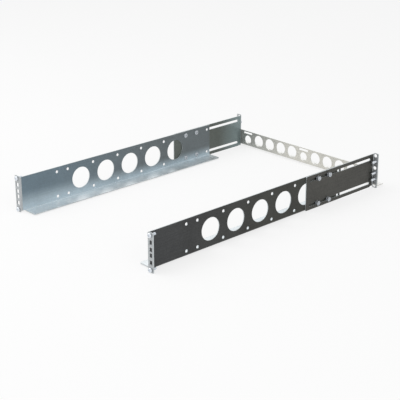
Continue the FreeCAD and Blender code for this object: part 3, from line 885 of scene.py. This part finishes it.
class SERVERRAILS_OT_rear_brackets(bpy.types.Operator):
    """Give both slotted rear brackets their galvanised finish"""

    bl_idname = "serverrails.rear_brackets"
    bl_label = "Finish Rear Brackets"

    def execute(self, context):
        material = bracket_material(context.scene.server_rails.bracket)
        coat(nodes_named("rear_bracket"), material)
        return {"FINISHED"}


class SERVERRAILS_OT_crossbar(bpy.types.Operator):
    """Give the perforated crossbar its pale galvanised finish"""

    bl_idname = "serverrails.crossbar"
    bl_label = "Finish Crossbar"

    def execute(self, context):
        coat(["rear_crossbar"], crossbar_material(context.scene.server_rails.crossbar))
        return {"FINISHED"}


def threaded_shank(name, start, length, look):
    """A threaded rod that ends at length, with the settings' diameter and pitch."""
    radius = look.shank / 2
    shank = bmesh.new()
    thread(shank, start, length, radius, radius - THREAD_DEPTH, look.pitch, look.steps // 2)
    return as_mesh(name, shank)


def rack_screw_mesh(length, look):
    """Domed pan head with a tapered cross recess, over a plain neck and a threaded shank."""
    top, radius, rim = -SCREW_HEAD, 0.0055, 0.0003
    crown, crown_drop, dome_height = 0.0022, 0.00006, 0.00214
    dome = [(0.0, top), (crown, top + crown_drop)]
    dome += arc((crown, top + crown_drop + dome_height), (radius - crown, dome_height), -90, 0, 9)[1:]
    dome += [(radius, -rim), (radius - rim, 0.0), (0.0, 0.0)]
    head = bmesh.new()
    lathe(head, dome, look.steps)
    recess = bmesh.new()
    arms = ((-0.0003, 0.0030, 0.00080), (0.0002, 0.0027, 0.00070), (0.0018, 0.0015, 0.00042))
    prism(recess, [cross_outline(reach, arm, top + depth) for depth, reach, arm in arms])
    data = combined("rack_screw_head", as_mesh("rack_screw_dome", head), as_mesh("cross_recess", recess),
                    "DIFFERENCE")
    data = eased("rack_screw_head", data, width=0.00009)
    neck_radius, neck_end, overlap = 0.00265, 0.0016, 0.0001
    neck = bmesh.new()
    lathe(neck, [(0.0, -SUNK), (neck_radius, -SUNK), (neck_radius, neck_end), (0.0, neck_end)], look.steps)
    shank = threaded_shank("rack_screw_thread", neck_end - overlap, length, look)
    return smooth(joined("rack_screw", data, as_mesh("rack_screw_neck", neck), shank))


def slide_bolt_mesh(length, look):
    """Low truss head with a hexagon socket, over a threaded shank."""
    top, radius, rim = -BOLT_HEAD, 0.006, 0.00012
    crown, dome_height = 0.0033, 0.0014
    dome = [(0.0, top), (crown, top)]
    dome += arc((crown, top + dome_height), (radius - crown, dome_height), -90, 0, 8)[1:]
    dome += [(radius, -rim), (radius - rim, 0.0), (0.0, 0.0)]
    head = bmesh.new()
    lathe(head, dome, look.steps)
    socket = bmesh.new()
    key = ((-0.0003, 0.0042), (0.0001, 0.0040), (0.0012, 0.0039), (0.0016, 0.0012))
    prism(socket, [hexagon_outline(flats, top + depth) for depth, flats in key])
    data = combined("slide_bolt_head", as_mesh("slide_bolt_dome", head), as_mesh("hexagon_socket", socket),
                    "DIFFERENCE")
    data = eased("slide_bolt_head", data, width=0.00008)
    return smooth(joined("slide_bolt", data, threaded_shank("slide_bolt_thread", -SUNK, length, look)))


def slide_nut_mesh(height, look):
    """Hexagon nut, chamfered on both faces, with a countersunk bore."""
    flats, sink = 0.0100, 0.0005
    spare = 0.001  # how far the hexagon runs past the turned faces
    bore = look.shank / 2 + 0.00004
    face = 0.955 * flats / 2  # radius of the flat face inside the chamfer
    reach = flats / math.sqrt(3) + 0.0002  # just past the corners
    drop = (reach - face) * math.tan(math.radians(30))
    turned = bmesh.new()
    lathe(turned, [(bore, sink), (bore + sink, 0.0), (face, 0.0), (reach, drop), (reach, height - drop),
                   (face, height), (bore + sink, height), (bore, height - sink)], look.steps * 2, closed=True)
    hexagon = bmesh.new()
    prism(hexagon, [hexagon_outline(flats, -spare), hexagon_outline(flats, height + spare)])
    data = combined("slide_nut", as_mesh("nut_turned", turned), as_mesh("nut_hexagon", hexagon), "INTERSECT")
    return smooth(eased("slide_nut", data, width=0.00010))


def washer_mesh(thickness, look):
    """Flat punched ring, as wide as the frame's: one face rounded over, the other nearly sharp."""
    low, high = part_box(nodes_named("_washer_")[0])
    radius, bore, soft, crisp = (high.z - low.z) / 2, 0.0032, 0.00035, 0.00010
    profile = [(bore, crisp), (bore + crisp, 0.0), (radius - crisp, 0.0), (radius, crisp)]
    profile += arc((radius - soft, thickness - soft), (soft, soft), 0, 90, 4)
    profile += arc((bore + soft, thickness - soft), (soft, soft), 90, 180, 4)
    ring = bmesh.new()
    lathe(ring, profile, look.steps + 8, closed=True)
    return smooth(as_mesh("flat_washer", ring))


def outward(node):
    """Away from the middle of the rack, on a slide fastener's own side."""
    return "+X" if node.startswith("right") else "-X"


def into_rack(node):
    """The way that a rack screw points."""
    return "+Y" if "_front_rack_" in node else "-Y"


def rounded_side(node):
    """The way that a washer's rounded face looks, to its nut or its screw's head."""
    if "_slide_" in node:
        return outward(node)
    return "-Y" if "_front_rack_" in node else "+Y"


def build_each(word, towards, make, look, material, ending, head_height=0.0):
    """Puts a finished piece on every node with this word; pieces of one length share a mesh."""
    meshes = {}
    for node in nodes_named(word):
        place, length = seat(node, head_height, towards(node))
        size = round(length, 5)
        if size not in meshes:
            meshes[size] = make(length, look)
        stand_in(node, f"{node}_{ending}", meshes[size], place, material)


class SERVERRAILS_OT_rack_screws(bpy.types.Operator):
    """Build the screws of the front ears, the rear ears and the crossbar"""

    bl_idname = "serverrails.rack_screws"
    bl_label = "Build Rack Screws"

    def execute(self, context):
        look = context.scene.server_rails.fastener
        material = fastener_material("zinc_screw", look.screw_colour, look)
        build_each("_screw_", into_rack, rack_screw_mesh, look, material, "threaded",
                   SCREW_HEAD)
        return {"FINISHED"}


class SERVERRAILS_OT_slide_bolts(bpy.types.Operator):
    """Build the low-headed bolts that ride in the brackets' slots"""

    bl_idname = "serverrails.slide_bolts"
    bl_label = "Build Slide Bolts"

    def execute(self, context):
        look = context.scene.server_rails.fastener
        material = fastener_material("zinc_bolt", look.bolt_colour, look)
        build_each("_slide_bolt_", outward, slide_bolt_mesh, look, material, "threaded",
                   BOLT_HEAD)
        return {"FINISHED"}


class SERVERRAILS_OT_slide_nuts(bpy.types.Operator):
    """Build the hexagon nuts on the outside of the brackets"""

    bl_idname = "serverrails.slide_nuts"
    bl_label = "Build Slide Nuts"

    def execute(self, context):
        look = context.scene.server_rails.fastener
        material = fastener_material("zinc_nut", look.nut_colour, look)
        build_each("_slide_nut_", outward, slide_nut_mesh, look, material, "chamfered")
        return {"FINISHED"}


class SERVERRAILS_OT_washers(bpy.types.Operator):
    """Build the washers under the nuts and the rack screws"""

    bl_idname = "serverrails.washers"
    bl_label = "Build Washers"

    def execute(self, context):
        look = context.scene.server_rails.fastener
        material = fastener_material("zinc_washer", look.washer_colour, look)
        build_each("_washer_", rounded_side, washer_mesh, look, material, "rounded")
        return {"FINISHED"}


def seen_light(wiring):
    """One for what the camera, a reflection or a view through glass sees, else nought."""
    path = wiring.node("ShaderNodeLightPath")
    return wiring.either(path.outputs["Is Camera Ray"], path.outputs["Is Glossy Ray"],
                         path.outputs["Is Transmission Ray"])


def floor_material(look):
    """Pale floor, partly self-lit to the eye, which keeps the object's shadow."""
    material = bpy.data.materials.new("pale_floor")
    material.use_nodes = True
    wiring = Wiring(material.node_tree)
    out = wiring.node("ShaderNodeOutputMaterial")
    paint = wiring.node("ShaderNodeBsdfPrincipled")
    wiring.feed_colour(paint.inputs["Base Color"], look.floor_colour)
    wiring.feed(paint.inputs["Roughness"], 0.9)
    wiring.feed(paint.inputs["Specular IOR Level"], 0.0)
    glow = wiring.node("ShaderNodeEmission")
    mixed = wiring.node("ShaderNodeMixShader")
    wiring.feed(mixed.inputs[0], wiring.product(seen_light(wiring), look.floor_glow))
    wiring.feed(mixed.inputs[1], paint.outputs[0])
    wiring.feed(mixed.inputs[2], glow.outputs[0])
    wiring.feed(out.inputs["Surface"], mixed.outputs[0])
    return material


def lay_floor(look):
    """A square floor just under the part."""
    half = look.floor_size / 2
    level = SOLID_BOX[0][2] - FLOOR_GAP
    plane = bmesh.new()
    plane.faces.new([plane.verts.new((across, along, level)) for across, along in
                     ((-half, -half), (half, -half), (half, half), (-half, half))])
    floor = bpy.data.objects.new("floor", as_mesh("floor", plane))
    floor.data.materials.append(floor_material(look))
    bpy.context.scene.collection.objects.link(floor)


def light_sky(look):
    """Even light from all round, which shows as plain white where it is seen."""
    world = bpy.data.worlds.new("soft_studio")
    world.use_nodes = True
    wiring = Wiring(world.node_tree)
    out = wiring.node("ShaderNodeOutputWorld")
    sky = wiring.node("ShaderNodeBackground")
    wiring.feed_colour(sky.inputs["Color"], (1.0, 1.0, 1.0))
    wiring.feed(sky.inputs["Strength"], wiring.math("MAXIMUM", seen_light(wiring), look.sky))
    wiring.feed(out.inputs["Surface"], sky.outputs[0])
    bpy.context.scene.world = world


def hang_lamp(name, place, side, power):
    """A square lamp that shines towards the part's middle."""
    middle = Vector((0.0, 0.35, 0.0))
    lamp = bpy.data.lights.new(name, "AREA")
    lamp.shape = "RECTANGLE"
    lamp.size = side
    lamp.size_y = side
    lamp.energy = power
    stand = bpy.data.objects.new(name, lamp)
    bpy.context.scene.collection.objects.link(stand)
    stand.location = place
    stand.rotation_euler = (middle - Vector(place)).to_track_quat("-Z", "Y").to_euler()


def set_camera(look):
    """The camera, at its distance from the point it looks at, turned and raised from the front."""
    lens = bpy.data.cameras.new("camera")
    lens.sensor_width = 36.0
    lens.lens = look.lens * 1000  # in millimetres
    lens.clip_end = 100
    camera = bpy.data.objects.new("camera", lens)
    bpy.context.scene.collection.objects.link(camera)
    away = Vector((math.cos(look.elevation) * math.sin(look.azimuth),
                   -math.cos(look.elevation) * math.cos(look.azimuth), math.sin(look.elevation)))
    camera.location = Vector(look.look_at) + away * look.distance
    camera.rotation_euler = (-away).to_track_quat("-Z", "Y").to_euler()
    bpy.context.scene.camera = camera


class SERVERRAILS_OT_stage(bpy.types.Operator):
    """Lay the pale floor, hang the lamps and set the camera"""

    bl_idname = "serverrails.stage"
    bl_label = "Set the Stage"

    def execute(self, context):
        look = context.scene.server_rails.stage
        lay_floor(look)
        light_sky(look)
        hang_lamp("key", place=(-1.1, -0.9, 2.3), side=2.4, power=look.key)
        hang_lamp("fill", place=(2.6, -0.6, 1.2), side=1.6, power=look.fill)
        set_camera(look)
        context.scene.view_settings.view_transform = "Standard"
        return {"FINISHED"}


class SERVERRAILS_PT_panel(bpy.types.Panel):
    """Lists the rail pair's pieces and their settings"""

    bl_idname = "SERVERRAILS_PT_panel"
    bl_label = "Server Rail Pair"
    bl_space_type = "VIEW_3D"
    bl_region_type = "UI"
    bl_category = "Server Rails"

    def draw(self, context):
        settings = context.scene.server_rails
        for operator, look in PIECES:
            box = self.layout.box()
            box.operator(operator.bl_idname)
            group = getattr(settings, look)
            for name in group.bl_rna.properties.keys():
                if name not in ("rna_type", "name"):
                    box.prop(group, name)


PIECES = (
    (SERVERRAILS_OT_front_rails, "rail"),
    (SERVERRAILS_OT_rear_brackets, "bracket"),
    (SERVERRAILS_OT_crossbar, "crossbar"),
    (SERVERRAILS_OT_rack_screws, "fastener"),
    (SERVERRAILS_OT_slide_bolts, "fastener"),
    (SERVERRAILS_OT_slide_nuts, "fastener"),
    (SERVERRAILS_OT_washers, "fastener"),
    (SERVERRAILS_OT_stage, "stage"),
)
CLASSES = (SheetLook, EaredLook, RailLook, BracketLook, CrossbarLook, FastenerLook, StageLook,
           ServerRailSettings, *(operator for operator, _ in PIECES), SERVERRAILS_PT_panel)


def register():
    for item in CLASSES:
        bpy.utils.register_class(item)
    bpy.types.Scene.server_rails = PointerProperty(type=ServerRailSettings)


def unregister():
    del bpy.types.Scene.server_rails
    for item in reversed(CLASSES):
        bpy.utils.unregister_class(item)


def main():
    register()
    for operator, _ in PIECES:
        family, name = operator.bl_idname.split(".")
        getattr(getattr(bpy.ops, family), name)()


if __name__ == "__main__":
    main()
